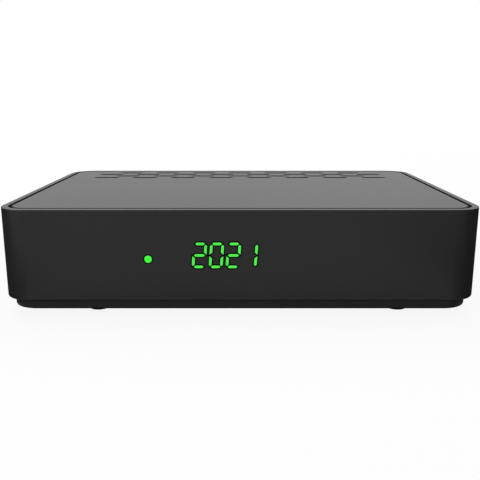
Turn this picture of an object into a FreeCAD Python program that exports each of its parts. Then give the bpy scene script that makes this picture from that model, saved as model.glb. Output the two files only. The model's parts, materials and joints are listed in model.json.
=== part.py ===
import FreeCAD, Part
import Sketcher
import math
import os
import re

# Satellite TV receiver, in millimetres. X runs to the right seen from the front, Y to the back and
# Z up. The origin is at the bottom centre of the whole box, connectors included, at floor level.

# Driving dimensions
SIZES = {
    # Case, as seen from outside
    "case_width": 168.0,
    "case_depth": 112.0,
    "shell_height": 32.4,
    "plinth_height": 3.6,
    "foot_height": 2.2,
    "rear_reach": 8.0,
    "corner_radius": 9.8,
    "top_edge_radius": 0.3,
    "bottom_edge_radius": 0.7,
    "wall": 2.6,
    # Rim, groove and cover
    "rim_width": 2.3,
    "groove_width": 1.35,
    "groove_depth": 1.6,
    "flange_thickness": 1.2,
    "cover_gap": 0.15,
    "cover_edge_radius": 0.15,
    "ledge_width": 2.8,
    "ledge_thickness": 1.8,
    "clip_width": 8.0,
    "clip_thickness": 1.5,
    "clip_drop": 1.6,
    "clip_barb": 0.9,
    "clip_spacing": 50.0,
    # Vents in the cover
    "vent_length": 12.3,
    "vent_width": 3.0,
    "vent_tip": 1.6,
    "vent_spacing": 17.94,
    "vent_row_spacing": 6.0,
    "vent_last_row": 9.6,
    # Base tray and feet
    "plinth_inset": 2.0,
    "plinth_corner_radius": 9.7,
    "plinth_edge_radius": 0.6,
    "floor_thickness": 2.0,
    "lip_gap": 0.15,
    "lip_thickness": 1.4,
    "lip_height": 4.0,
    "floor_slot_count": 9,
    "floor_slot_width": 3.0,
    "floor_slot_length": 36.0,
    "floor_slot_spacing": 10.0,
    "foot_radius": 4.0,
    "foot_edge_radius": 0.5,
    "foot_recess": 0.6,
    "foot_gap": 0.1,
    "foot_left_inset": 32.3,
    "foot_right_inset": 26.6,
    "foot_setback": 10.9,
    # Case screws, with the bosses and posts they join
    "screw_post_side": 10.0,
    "screw_post_end": 11.0,
    "boss_radius": 4.0,
    "boss_height": 7.8,
    "boss_well_radius": 3.1,
    "boss_seat": 2.8,
    "post_radius": 3.5,
    "post_bore_depth": 12.0,
    "rib_thickness": 2.0,
    "screw_radius": 1.45,
    "screw_hole_gap": 0.25,
    "thread_gap": 0.05,
    "screw_head_radius": 2.8,
    "screw_head_height": 2.0,
    "case_screw_length": 14.0,
    "cross_width": 0.7,
    "cross_length": 3.2,
    "cross_depth": 1.1,
    # Rear opening and steel panel
    "rear_post_width": 14.0,
    "rear_strip": 5.5,
    "panel_thickness": 0.8,
    "panel_lap": 4.0,
    "panel_gap": 0.15,
    "cutout_gap": 0.25,
    # Main board
    "board_side_gap": 16.0,
    "board_depth": 84.0,
    "board_thickness": 1.6,
    "board_setback": 1.0,
    "standoff_height": 5.0,
    "standoff_radius": 3.0,
    "board_screw_length": 5.0,
    "board_screw_front": 5.0,
    "board_screw_back": 18.0,
    "board_screw_edge": 5.0,
    # Display
    "display_x": -5.2,
    "display_drop": 15.9,
    "digit_height": 9.14,
    "digit_width": 4.9,
    "digit_spacing": 5.85,
    "segment_width": 1.0,
    "segment_gap": 0.25,
    "cross_taper": 0.6,
    "upright_notch": 0.22,
    "upright_taper": 0.8,
    "digit_slant": 4.2,
    "display_width": 25.0,
    "display_height": 14.0,
    "display_depth": 7.2,
    "display_board_thickness": 1.2,
    "display_board_left": -48.0,
    "display_board_right": 20.0,
    "display_board_bottom": 11.0,
    "display_board_top": 33.0,
    "display_boss_radius": 3.0,
    "display_boss_inset": 4.0,
    "display_screw_length": 6.0,
    "light_x": -31.7,
    "light_drop": 17.25,
    "light_radius": 1.28,
    "light_gap": 0.2,
    "light_flange_radius": 2.3,
    "light_flange_thickness": 0.8,
    "led_radius": 1.5,
    "led_rim_radius": 1.9,
    "led_rim_thickness": 1.0,
    "led_length": 5.0,
    "receiver_x": -24.6,
    "receiver_width": 5.6,
    "receiver_height": 7.0,
    "receiver_depth": 4.0,
    "receiver_dome_radius": 2.0,
    "header_x": -14.0,
    "header_count": 8,
    "header_spacing": 2.54,
    "header_depth": 2.5,
    "header_height": 5.0,
    "header_pin_size": 0.64,
    "header_pin_rise": 2.2,
    # Tuner and its two aerial sockets
    "tuner_width": 32.0,
    "tuner_depth": 38.0,
    "tuner_height": 13.0,
    "tuner_setback": 0.3,
    "aerial_spacing": 17.0,
    "aerial_rise": 6.5,
    "aerial_radius": 4.75,
    "aerial_root_radius": 5.0,
    "aerial_bore_radius": 3.3,
    "aerial_bore_depth": 9.5,
    "insulator_setback": 0.8,
    "insulator_hole_radius": 0.7,
    "insulator_hole_depth": 5.0,
    "nut_across": 12.0,
    "nut_thickness": 2.0,
    "nut_gap": 0.05,
    # Digital audio socket
    "audio_body_width": 10.0,
    "audio_body_height": 12.0,
    "audio_body_depth": 11.0,
    "audio_rise": 7.0,
    "audio_radius": 4.15,
    "audio_wall": 0.5,
    "audio_reach": 9.0,
    "audio_flange_radius": 5.0,
    "audio_flange_thickness": 1.0,
    "audio_core_setback": 0.4,
    "audio_hole_radius": 1.65,
    "audio_hole_depth": 8.0,
    # Flat sockets: video, storage and network
    "video_width": 15.0,
    "video_height": 5.6,
    "video_depth": 11.5,
    "video_corner": 1.3,
    "video_tongue_width": 11.5,
    "video_tongue_height": 1.4,
    "storage_width": 13.1,
    "storage_height": 5.7,
    "storage_depth": 13.0,
    "storage_tongue_width": 11.1,
    "storage_tongue_height": 1.85,
    "storage_tongue_rise": 3.1,
    "metal_wall": 0.4,
    "socket_floor": 2.0,
    "socket_rise": 0.4,
    "tongue_setback": 1.0,
    "network_width": 16.0,
    "network_height": 13.5,
    "network_depth": 16.0,
    "network_plug_width": 11.8,
    "network_plug_height": 6.8,
    "network_plug_depth": 12.0,
    "network_plug_rise": 3.6,
    "network_latch_width": 6.2,
    "network_latch_height": 1.9,
    "network_contact_spacing": 1.02,
    "network_contact_size": 0.35,
    "network_contact_length": 7.2,
    "socket_reach": 0.5,
    # Round jacks and power inlet
    "jack_body_width": 6.4,
    "jack_body_height": 6.6,
    "jack_body_depth": 12.0,
    "jack_rise": 3.6,
    "jack_nose_radius": 2.9,
    "jack_nose_length": 2.0,
    "jack_bore_radius": 1.8,
    "jack_bore_depth": 12.0,
    "inlet_width": 9.0,
    "inlet_height": 11.0,
    "inlet_depth": 14.0,
    "inlet_rise": 6.5,
    "inlet_bore_radius": 3.1,
    "inlet_bore_depth": 9.5,
    "inlet_pin_radius": 1.0,
    "inlet_pin_length": 8.5,
    # Power switch: body, pin and rocker
    "switch_rise": 8.7,
    "switch_width": 9.6,
    "switch_height": 14.6,
    "switch_depth": 12.0,
    "bezel_width": 11.6,
    "bezel_height": 16.6,
    "bezel_thickness": 1.6,
    "switch_well_width": 8.0,
    "switch_well_height": 13.0,
    "switch_well_depth": 7.0,
    "rocker_side_gap": 0.25,
    "rocker_half_length": 5.8,
    "rocker_crest": 2.4,
    "rocker_middle": 1.0,
    "rocker_heel": 0.8,
    "rocker_belly": 2.8,
    "rocker_tilt": 10.0,
    "pivot_radius": 0.75,
    "pivot_gap": 0.05,
    "terminal_width": 4.8,
    "terminal_thickness": 0.8,
    "terminal_length": 6.0,
    "terminal_spacing": 6.0,
    # What the main board carries, placed from its middle line or a side edge and from its back
    "part_gap": 2.0,
    "processor_x": 5.0,
    "processor_setback": 46.0,
    "processor_width": 17.0,
    "processor_height": 1.6,
    "pad_thickness": 0.5,
    "sink_width": 32.0,
    "sink_base": 2.0,
    "sink_fin_height": 8.0,
    "sink_fin_thickness": 1.3,
    "sink_fin_count": 8,
    "sink_corner": 0.5,
    "sink_fin_inset": 0.5,
    "sink_fin_corner": 0.3,
    "memory_x": -22.0,
    "memory_width": 9.0,
    "memory_length": 13.5,
    "memory_height": 1.2,
    "flash_x": 32.0,
    "flash_width": 8.0,
    "flash_length": 6.0,
    "flash_height": 1.6,
    "transformer_width": 15.0,
    "transformer_length": 7.5,
    "transformer_height": 3.6,
    "crystal_length": 11.0,
    "crystal_width": 4.6,
    "crystal_height": 3.5,
    "crystal_setback": 20.0,
    "big_capacitor_radius": 4.0,
    "big_capacitor_height": 11.5,
    "small_capacitor_radius": 3.15,
    "small_capacitor_height": 7.7,
    "capacitor_score": 0.3,
    "score_share": 0.7,
    "inductor_width": 8.0,
    "inductor_height": 4.2,
    "regulator_width": 6.5,
    "regulator_length": 6.0,
    "regulator_height": 2.3,
    "supply_edge": 14.0,
    "supply_spacing": 11.0,
    "supply_setback": 28.0,
    "resistor_count": 12,
    "resistor_rows": 2,
    "resistor_length": 1.6,
    "resistor_width": 0.8,
    "resistor_height": 0.5,
    "resistor_spacing": 4.0,
    "resistor_row_spacing": 3.0,
    "resistor_setback": 10.0,
}

# Levels and lines worked out from the driving dimensions
PLACES = {
    "front": "-(case_depth + rear_reach) / 2",
    "back": "front + case_depth",
    "case_middle": "front + case_depth / 2",
    "shell_bottom": "foot_height + plinth_height",
    "shell_top": "shell_bottom + shell_height",
    "cover_bottom": "shell_top - groove_depth - flange_thickness",
    "ledge_bottom": "cover_bottom - ledge_thickness",
    "cover_inset": "rim_width + groove_width",
    "ledge_inset": "rim_width + ledge_width",
    "floor_top": "foot_height + floor_thickness",
    "lip_inset": "wall + lip_gap",
    "lip_top": "shell_bottom + lip_height",
    "well_inset": "lip_inset + lip_thickness",
    "inner_front": "front + wall",
    "panel_back": "back - wall",
    "panel_front": "panel_back - panel_thickness",
    "panel_top": "ledge_bottom - panel_gap",
    "rear_opening_width": "case_width - 2 * rear_post_width",
    "panel_half": "rear_opening_width / 2 + panel_lap",
    "foot_left": "foot_left_inset - case_width / 2",
    "foot_right": "case_width / 2 - foot_right_inset",
    "screw_x": "case_width / 2 - screw_post_side",
    "screw_front": "front + screw_post_end",
    "screw_back": "back - screw_post_end",
    "boss_top": "floor_top + boss_height",
    "boss_shelf": "floor_top + boss_seat",
    "post_top": "ledge_bottom + ledge_thickness / 2",
    "board_bottom": "floor_top + standoff_height",
    "board_top": "board_bottom + board_thickness",
    "board_half": "case_width / 2 - board_side_gap",
    "board_back": "panel_front - board_setback",
    "board_front": "board_back - board_depth",
    "display_z": "shell_top - display_drop",
    "module_back": "inner_front + display_depth",
    "display_board_back": "module_back + display_board_thickness",
    "display_board_middle": "(display_board_bottom + display_board_top) / 2",
    "light_z": "shell_top - light_drop",
    "header_z": "board_top + header_pin_rise",
    "header_width": "header_count * header_spacing",
    "sockets_width": "tuner_width + audio_body_width + video_width + storage_width + network_width"
                     " + 2 * jack_body_width + inlet_width + bezel_width",
    "socket_space": "(rear_opening_width - sockets_width) / 10",
    "tuner_x": "(tuner_width - rear_opening_width) / 2 + socket_space",
    "audio_x": "tuner_x + (tuner_width + audio_body_width) / 2 + socket_space",
    "video_x": "audio_x + (audio_body_width + video_width) / 2 + socket_space",
    "storage_x": "video_x + (video_width + storage_width) / 2 + socket_space",
    "network_x": "storage_x + (storage_width + network_width) / 2 + socket_space",
    "av_jack_x": "network_x + (network_width + jack_body_width) / 2 + socket_space",
    "infrared_jack_x": "av_jack_x + jack_body_width + socket_space",
    "inlet_x": "infrared_jack_x + (jack_body_width + inlet_width) / 2 + socket_space",
    "switch_x": "inlet_x + (inlet_width + bezel_width) / 2 + socket_space",
    "switch_z": "board_top + switch_rise",
    "tuner_back": "panel_front - tuner_setback",
    "aerial_left": "tuner_x - aerial_spacing / 2",
    "aerial_right": "tuner_x + aerial_spacing / 2",
    "aerial_z": "board_top + aerial_rise",
    "aerial_tip": "back + rear_reach",
    "audio_z": "board_top + audio_rise",
    "audio_tip": "panel_back + audio_reach",
    "socket_tip": "panel_back + socket_reach",
    "video_z": "board_top + socket_rise + video_height / 2",
    "storage_z": "board_top + socket_rise + storage_height / 2",
    "network_z": "board_top + network_plug_rise + network_plug_height / 2",
    "jack_z": "board_top + jack_rise",
    "inlet_z": "board_top + inlet_rise",
    "bezel_back": "panel_back + bezel_thickness",
    "pivot_y": "panel_back",
    "processor_y": "board_back - processor_setback",
    "processor_top": "board_top + processor_height",
    "pad_top": "processor_top + pad_thickness",
    "transformer_y": "socket_tip - network_depth - part_gap - transformer_length / 2",
    "chips_front_y": "processor_y - memory_length / 2 - part_gap - small_capacitor_radius",
    "supply_x": "board_half - supply_edge",
    "supply_y": "board_back - supply_setback",
    "coil_y": "supply_y - big_capacitor_radius - part_gap - inductor_width / 2",
    "regulator_y": "coil_y - (inductor_width + regulator_length) / 2 - part_gap",
    "tuner_front_y": "tuner_back - tuner_depth - part_gap - small_capacitor_radius",
}

# Seven-segment pattern of each numeral that the display shows
NUMERALS = {"0": "abcdef", "1": "bc", "2": "abged"}
READING = "2021"

# Vents in each row of the lid, from the rear row to the front one
VENT_ROWS = (7, 8, 7, 8)

doc = FreeCAD.newDocument("satellite_receiver")


def named(text, own_sheet=False):
    """Turn the plain names in a formula into references to the two sheets."""
    def reference(found):
        word = found[0]
        if word in SIZES:
            return "Sizes." + word
        if word in PLACES:
            return word if own_sheet else "Places." + word
        return word
    return re.sub(r"[a-z][a-z_]*", reference, str(text))


def fill_sheet(label, cells):
    """Write one named value per row and give its cell that name."""
    sheet = doc.addObject("Spreadsheet::Sheet", label)
    for row, (name, content) in enumerate(cells.items(), 1):
        sheet.set(f"A{row}", name)
        sheet.set(f"B{row}", content)
        sheet.setAlias(f"B{row}", name)
    return sheet


sizes = fill_sheet("Sizes", {name: str(value) for name, value in SIZES.items()})
places = fill_sheet("Places", {name: "=" + named(text, True) for name, text in PLACES.items()})
doc.recompute()


def number(text):
    """The value that a formula has now."""
    return float(sizes.evalExpression(named(text)))


def bind(thing, **formulas):
    for prop, text in formulas.items():
        thing.setExpression(prop, named(text))


def place(thing, x, y, z):
    for axis, text in (("x", x), ("y", y), ("z", z)):
        thing.setExpression("Placement.Base." + axis, named(text))


def block(x, y, z, width, depth, height):
    """Box, given by its middle in X and its low sides in Y and Z."""
    solid = doc.addObject("Part::Box", "Block")
    bind(solid, Length=width, Width=depth, Height=height)
    place(solid, f"{x} - ({width}) / 2", y, z)
    return solid


TURNS = {
    "x": FreeCAD.Rotation(FreeCAD.Vector(0, 1, 0), 90),
    "y": FreeCAD.Rotation(FreeCAD.Vector(1, 0, 0), -90),
    "z": FreeCAD.Rotation(),
}


def rod(x, y, z, radius, length, axis="z"):
    """Cylinder from the middle of its low end."""
    solid = doc.addObject("Part::Cylinder", "Rod")
    solid.Placement = FreeCAD.Placement(FreeCAD.Vector(), TURNS[axis])
    bind(solid, Radius=radius, Height=length)
    place(solid, x, y, z)
    return solid


def joined(solids):
    whole = doc.addObject("Part::MultiFuse", "Joined")
    whole.Shapes = solids
    whole.Refine = True
    return whole


def carved(base, tools):
    result = doc.addObject("Part::Cut", "Carved")
    result.Base = base
    result.Tool = tools[0] if len(tools) == 1 else joined(tools)
    result.Refine = True
    return result


def grouped(solids):
    whole = doc.addObject("Part::Compound", "Group")
    whole.Links = solids
    return whole


def shaped(shape):
    solid = doc.addObject("Part::Feature", "Form")
    solid.Shape = shape
    return solid


def prism(outline, direction):
    """Straight prism on a closed outline of corner points."""
    wire = Part.makePolygon(outline + outline[:1])
    return Part.Face(wire).extrude(direction)


def origin_plane(body, role):
    return next(item for item in body.Origin.OriginFeatures if item.Role == role)


def sketch_on(body, role, x="0", y="0", z="0"):
    """Sketch on an origin plane, shifted within it by x and y and off it by z."""
    sketch = body.newObject("Sketcher::SketchObject", "Sketch")
    sketch.AttachmentSupport = [(origin_plane(body, role), "")]
    sketch.MapMode = "FlatFace"
    for axis, text in (("x", x), ("y", y), ("z", z)):
        sketch.setExpression("AttachmentOffset.Base." + axis, named(text))
    return sketch


def constrain(sketch, name, formula, *reference):
    """Add a dimension to the sketch and bind it to the sheet."""
    kind, *where = reference
    index = sketch.addConstraint(Sketcher.Constraint(kind, *where, number(formula)))
    sketch.renameConstraint(index, name)
    sketch.setExpression("Constraints." + name, named(formula))


def rounded_rectangle(sketch, width, depth, radius):
    """Four sides and four tangent corner arcs, centred on the sketch's origin."""
    half_x = number(width) / 2
    half_y = number(depth) / 2
    r = number(radius)
    corners = [(1, -1, -90), (1, 1, 0), (-1, 1, 90), (-1, -1, 180)]
    centres = [FreeCAD.Vector(sx * (half_x - r), sy * (half_y - r), 0) for sx, sy, _ in corners]
    arcs = []
    for centre, (_, _, start) in zip(centres, corners):
        circle = Part.Circle(centre, FreeCAD.Vector(0, 0, 1), r)
        arcs.append(Part.ArcOfCircle(circle, math.radians(start), math.radians(start + 90)))
    for index, arc in enumerate(arcs):
        sketch.addGeometry(Part.LineSegment(arcs[index - 1].EndPoint, arc.StartPoint), False)
        sketch.addGeometry(arc, False)
    for index in range(4):
        line, arc = 2 * index, 2 * index + 1
        following = (line + 2) % 8
        sketch.addConstraint(Sketcher.Constraint("Tangent", line, 2, arc, 1))
        sketch.addConstraint(Sketcher.Constraint("Tangent", arc, 2, following, 1))
        sketch.addConstraint(Sketcher.Constraint("Vertical" if index % 2 else "Horizontal", line))
        if index:
            sketch.addConstraint(Sketcher.Constraint("Equal", 1, arc))
    sketch.addConstraint(Sketcher.Constraint("Symmetric", 1, 3, 5, 3, -1, 1))
    constrain(sketch, "Corner", radius, "Radius", 1)
    constrain(sketch, "Across", f"{width} - 2 * ({radius})", "DistanceX", 0, 1, 0, 2)
    constrain(sketch, "Along", f"{depth} - 2 * ({radius})", "DistanceY", 2, 1, 2, 2)


def pad(body, sketch, length, downwards=False):
    feature = body.newObject("PartDesign::Pad", "Pad")
    feature.Profile = sketch
    feature.Reversed = downwards
    bind(feature, Length=length)
    sketch.Visibility = False
    return feature


def pocket(body, sketch, length, upwards=True):
    feature = body.newObject("PartDesign::Pocket", "Pocket")
    feature.Profile = sketch
    feature.Reversed = upwards
    bind(feature, Length=length)
    sketch.Visibility = False
    return feature


def edges_where(shape, test):
    return [f"Edge{index}" for index, edge in enumerate(shape.Edges, 1) if test(edge)]


def fillet(body, feature, radius, test):
    """Round the edges of the last feature that pass the test."""
    doc.recompute()
    rounding = body.newObject("PartDesign::Fillet", "Fillet")
    rounding.Base = (feature, edges_where(feature.Shape, test))
    bind(rounding, Radius=radius)
    return rounding


def level_at(z):
    """Test for edges that lie flat at one height."""
    height = number(z)
    return lambda edge: all(abs(v.Point.z - height) < 1e-4 for v in edge.Vertexes)


def inset_outline(sketch, inset):
    """The case's outline drawn in by an inset, with its corners on the same centres."""
    rounded_rectangle(sketch, f"(case_width - 2 * ({inset}))", f"(case_depth - 2 * ({inset}))",
                      f"(corner_radius - ({inset}))")


NODES = {}


def node(name, solid):
    """Keep a finished sub-part under the name of its file."""
    solid.Label = name
    NODES[name] = solid
    return solid


def mirrored_pairs(x, front, back):
    return [(f"{side} * {x}", y) for y in (front, back) for side in ("-1", "1")]


CASE_SCREWS = mirrored_pairs("screw_x", "screw_front", "screw_back")
BOARD_SCREWS = [
    ("board_screw_edge - board_half", "board_front + board_screw_front"),
    ("board_half - board_screw_edge", "board_front + board_screw_front"),
    ("audio_x", "board_back - board_screw_back"),
    ("board_half - board_screw_edge", "board_back - board_screw_back"),
]
DISPLAY_SCREWS = [
    "display_board_left + display_boss_inset",
    "display_board_right - display_boss_inset",
]


def segment_outlines():
    """Corner points (across, up) of the seven bars of an unslanted numeral, by letter."""
    half = number("segment_width") / 2
    gap = number("segment_gap")
    reach_x = number("digit_width") / 2 - half
    reach_z = number("digit_height") / 2 - half
    notch = number("upright_notch")

    def lying(reach, taper, rise):
        return [(-reach, rise), (taper - reach, rise + half), (reach - taper, rise + half),
                (reach, rise), (reach - taper, rise - half), (taper - reach, rise - half)]

    shoulder = reach_z - gap - half
    upper_right = [(reach_x, reach_z - gap), (reach_x + half, shoulder), (reach_x + half, notch),
                   (reach_x - half, notch + number("upright_taper")), (reach_x - half, shoulder)]
    lower_right = [(x, -z) for x, z in reversed(upper_right)]
    return {
        "a": lying(reach_x - gap, half, reach_z),
        "b": upper_right,
        "c": lower_right,
        "d": lying(reach_x - gap, half, -reach_z),
        "e": [(-x, z) for x, z in reversed(lower_right)],
        "f": [(-x, z) for x, z in reversed(upper_right)],
        "g": lying(reach_x, number("cross_taper"), 0),
    }


def display_segments(lit):
    """Bars that reach from the module's face through the front wall, leaning by the slant."""
    slant = math.tan(math.radians(number("digit_slant")))
    depth = FreeCAD.Vector(0, number("wall"), 0)
    bars = []
    for place_index, numeral in enumerate(READING):
        middle = number(f"display_x + ({place_index} - 1.5) * digit_spacing")
        for letter, outline in segment_outlines().items():
            if (letter in NUMERALS[numeral]) == lit:
                corners = [FreeCAD.Vector(middle + x + z * slant, number("front"),
                                          number("display_z") + z) for x, z in outline]
                bars.append(prism(corners, depth))
    return Part.makeCompound(bars)


def make_housing():
    body = doc.addObject("PartDesign::Body", "Shell")
    outline = sketch_on(body, "XY_Plane", "0", "case_middle", "shell_bottom")
    inset_outline(outline, "0")
    outer = pad(body, outline, "shell_height")
    top_round = fillet(body, outer, "top_edge_radius", level_at("shell_top"))
    fillet(body, top_round, "bottom_edge_radius", level_at("shell_bottom"))
    steps = [
        ("wall", "shell_bottom", "ledge_bottom - shell_bottom"),
        ("ledge_inset", "shell_bottom", "shell_height"),
        ("rim_width", "cover_bottom", "shell_top - cover_bottom"),
    ]
    for inset, start, length in steps:
        opening = sketch_on(body, "XY_Plane", "0", "case_middle", start)
        inset_outline(opening, inset)
        pocket(body, opening, length)
    post_length = "post_top - boss_top"
    additions = [body]
    bores = []
    for x, y in CASE_SCREWS:
        side = x.split(" ")[0]
        additions.append(rod(x, y, "boss_top", "post_radius", post_length))
        rib_length = "screw_post_side - wall / 2"
        additions.append(block(f"{x} + {side} * ({rib_length}) / 2", f"{y} - rib_thickness / 2",
                               "boss_top", rib_length, "rib_thickness", post_length))
        bores.append(rod(x, y, "boss_top", "screw_radius + thread_gap", "post_bore_depth"))
    for x in DISPLAY_SCREWS:
        length = "module_back - front - wall / 2"
        start = "front + wall / 2"
        additions.append(rod(x, start, "display_board_middle", "display_boss_radius", length, "y"))
        bores.append(rod(x, "inner_front", "display_board_middle", "screw_radius + thread_gap",
                         "display_depth", "y"))
    rear_opening = block("0", "back - wall - ledge_width", "shell_bottom", "rear_opening_width",
                         "wall + ledge_width + 1", "shell_height - rear_strip")
    light_hole = rod("light_x", "front - 1", "light_z", "light_radius + light_gap", "wall + 2", "y")
    bars = [shaped(display_segments(True)), shaped(display_segments(False))]
    node("housing", carved(joined(additions), bores + [rear_opening, light_hole] + bars))


def vent_shapes():
    """Slots with pointed ends in staggered rows."""
    half = number("vent_length") / 2
    tip = half - number("vent_tip")
    side = number("vent_width") / 2
    outline = [(-half, 0), (-tip, -side), (tip, -side), (half, 0), (tip, side), (-tip, side)]
    up = FreeCAD.Vector(0, 0, number("shell_top - cover_bottom + 2"))
    slots = []
    for row, count in enumerate(VENT_ROWS):
        y = number(f"back - vent_last_row - {row} * vent_row_spacing")
        for index in range(count):
            x = number("vent_spacing") * (index - (count - 1) / 2)
            corners = [FreeCAD.Vector(x + dx, y + dy, number("cover_bottom - 1")) for dx, dy in outline]
            slots.append(prism(corners, up))
    return Part.makeCompound(slots)


def cover_clip(x, edge, inward):
    """Snap clip behind the ledge: a tongue with a barb that hooks under it."""
    face = f"{edge} + {inward} * (ledge_inset + cover_gap)"
    low = "ledge_bottom - clip_drop"
    tongue_y = face if inward == "1" else f"{face} - clip_thickness"
    tongue = block(x, tongue_y, low, "clip_width", "clip_thickness",
                   f"cover_bottom + flange_thickness / 2 - ({low})")
    barb_depth = "clip_barb + clip_thickness / 2"
    barb_y = f"{face} - clip_barb" if inward == "1" else f"{face} - clip_thickness / 2"
    barb = block(x, barb_y, low, "clip_width", barb_depth, "clip_drop - cover_gap")
    return [tongue, barb]


def make_top_cover():
    body = doc.addObject("PartDesign::Body", "Panel")
    flange = sketch_on(body, "XY_Plane", "0", "case_middle", "cover_bottom")
    inset_outline(flange, "rim_width + cover_gap")
    pad(body, flange, "flange_thickness")
    raised = sketch_on(body, "XY_Plane", "0", "case_middle", "cover_bottom")
    inset_outline(raised, "cover_inset")
    field = pad(body, raised, "shell_top - cover_bottom")
    fillet(body, field, "cover_edge_radius", level_at("shell_top"))
    solids = [body]
    for step in ("-1", "0", "1"):
        solids += cover_clip(f"{step} * clip_spacing", "front", "1")
        solids += cover_clip(f"{step} * clip_spacing", "back", "-1")
    node("top_cover", carved(joined(solids), [shaped(vent_shapes())]))


def make_base_tray():
    body = doc.addObject("PartDesign::Body", "Tray")
    outline = sketch_on(body, "XY_Plane", "0", "case_middle", "foot_height")
    rounded_rectangle(outline, "(case_width - 2 * plinth_inset)", "(case_depth - 2 * plinth_inset)",
                      "plinth_corner_radius")
    plinth = pad(body, outline, "plinth_height")
    fillet(body, plinth, "plinth_edge_radius", level_at("foot_height"))
    lip = sketch_on(body, "XY_Plane", "0", "case_middle", "floor_top")
    inset_outline(lip, "lip_inset")
    pad(body, lip, "lip_top - floor_top")
    well = sketch_on(body, "XY_Plane", "0", "case_middle", "floor_top")
    inset_outline(well, "well_inset")
    pocket(body, well, "lip_top - floor_top")
    solids = [body]
    cuts = []
    for x, y in CASE_SCREWS:
        solids.append(rod(x, y, "foot_height + 1", "boss_radius", "boss_top - foot_height - 1"))
        cuts.append(rod(x, y, "foot_height - 1", "boss_well_radius", "boss_shelf - foot_height + 1"))
        cuts.append(rod(x, y, "foot_height", "screw_radius + screw_hole_gap", "boss_top"))
    for x, y in BOARD_SCREWS:
        solids.append(rod(x, y, "foot_height + 1", "standoff_radius",
                          "board_bottom - foot_height - 1"))
        cuts.append(rod(x, y, "floor_top", "screw_radius + thread_gap", "standoff_height + 1"))
    for index in range(SIZES["floor_slot_count"]):
        cuts.append(block(f"({index} - (floor_slot_count - 1) / 2) * floor_slot_spacing",
                          "case_middle - floor_slot_length / 2", "foot_height - 1",
                          "floor_slot_width", "floor_slot_length", "floor_thickness + 2"))
    for x, y in FEET.values():
        cuts.append(rod(x, y, "foot_height - 1", "foot_radius + foot_gap", "foot_recess + 1"))
    cuts.append(block("0", "back - well_inset - 1", "shell_bottom", "2 * (panel_half + 1)",
                      "well_inset + 1", "lip_height + 1"))
    node("base_tray", carved(joined(solids), cuts))


FEET = {
    "foot_front_left": ("foot_left", "front + foot_setback"),
    "foot_front_right": ("foot_right", "front + foot_setback"),
    "foot_rear_left": ("foot_left", "back - foot_setback"),
    "foot_rear_right": ("foot_right", "back - foot_setback"),
}


def make_foot(name, x, y):
    """Rubber disc with a rounded lower edge, stuck in a shallow recess."""
    body = doc.addObject("PartDesign::Body", "Foot")
    sketch = sketch_on(body, "XY_Plane", x, y)
    sketch.addGeometry(Part.Circle(FreeCAD.Vector(), FreeCAD.Vector(0, 0, 1), 1), False)
    sketch.addConstraint(Sketcher.Constraint("Coincident", 0, 3, -1, 1))
    constrain(sketch, "Round", "foot_radius", "Radius", 0)
    disc = pad(body, sketch, "foot_height + foot_recess")
    fillet(body, disc, "foot_edge_radius", level_at("0"))
    node(name, body)


def screw(x, y, z, length, axis="z", head_side="-1"):
    """Cross-head screw; z (or y) is its seat, and the head lies on head_side of it."""
    shank_start = "0" if head_side == "-1" else "-(" + length + ")"
    head_start = "-1 * screw_head_height" if head_side == "-1" else "0"
    slot_start = head_start if head_side == "-1" else "screw_head_height - cross_depth"

    def part_of(start, radius, size):
        if axis == "z":
            return rod(x, y, f"{z} + {start}", radius, size)
        return rod(x, f"{y} + {start}", z, radius, size, "y")

    whole = joined([part_of(shank_start, "screw_radius", length),
                    part_of(head_start, "screw_head_radius", "screw_head_height")])
    slots = []
    for across, along in (("cross_length", "cross_width"), ("cross_width", "cross_length")):
        if axis == "z":
            slots.append(block(x, f"{y} - {along} / 2", f"{z} + {slot_start}", across, along,
                               "cross_depth"))
        else:
            slots.append(block(x, f"{y} + {slot_start}", f"{z} - {along} / 2", across,
                               "cross_depth", along))
    return carved(whole, slots)


def make_screws():
    node("case_screws", grouped([screw(x, y, "boss_shelf", "case_screw_length")
                                 for x, y in CASE_SCREWS]))
    node("board_screws", grouped([screw(x, y, "board_top", "board_screw_length", "z", "1")
                                  for x, y in BOARD_SCREWS]))
    node("display_board_screws", grouped([
        screw(x, "display_board_back", "display_board_middle", "display_screw_length", "y", "1")
        for x in DISPLAY_SCREWS]))


def make_rear_panel():
    plate = block("0", "panel_front", "shell_bottom", "2 * panel_half", "panel_thickness",
                  "panel_top - shell_bottom")
    start, through = "panel_front - 1", "panel_thickness + 2"
    cuts = [rod(x, start, z, f"{radius} + cutout_gap", through, "y") for x, z, radius in (
        ("aerial_left", "aerial_z", "aerial_root_radius"),
        ("aerial_right", "aerial_z", "aerial_root_radius"),
        ("audio_x", "audio_z", "audio_radius"), ("av_jack_x", "jack_z", "jack_nose_radius"),
        ("infrared_jack_x", "jack_z", "jack_nose_radius"))]
    for x, z, width, height in (
            ("video_x", "video_z", "video_width", "video_height"),
            ("storage_x", "storage_z", "storage_width", "storage_height"),
            ("network_x", "board_top + network_height / 2", "network_width", "network_height"),
            ("inlet_x", "board_top + inlet_height / 2", "inlet_width", "inlet_height"),
            ("switch_x", "switch_z", "switch_width", "switch_height")):
        cuts.append(block(x, start, f"{z} - {height} / 2 - cutout_gap",
                          f"{width} + 2 * cutout_gap", through, f"{height} + 2 * cutout_gap"))
    node("rear_panel", carved(plate, cuts))


def make_main_board():
    plate = block("0", "board_front", "board_bottom", "2 * board_half", "board_depth",
                  "board_thickness")
    holes = [rod(x, y, "board_bottom - 1", "screw_radius + screw_hole_gap", "board_thickness + 2")
             for x, y in BOARD_SCREWS]
    node("main_board", carved(plate, holes))


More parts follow.
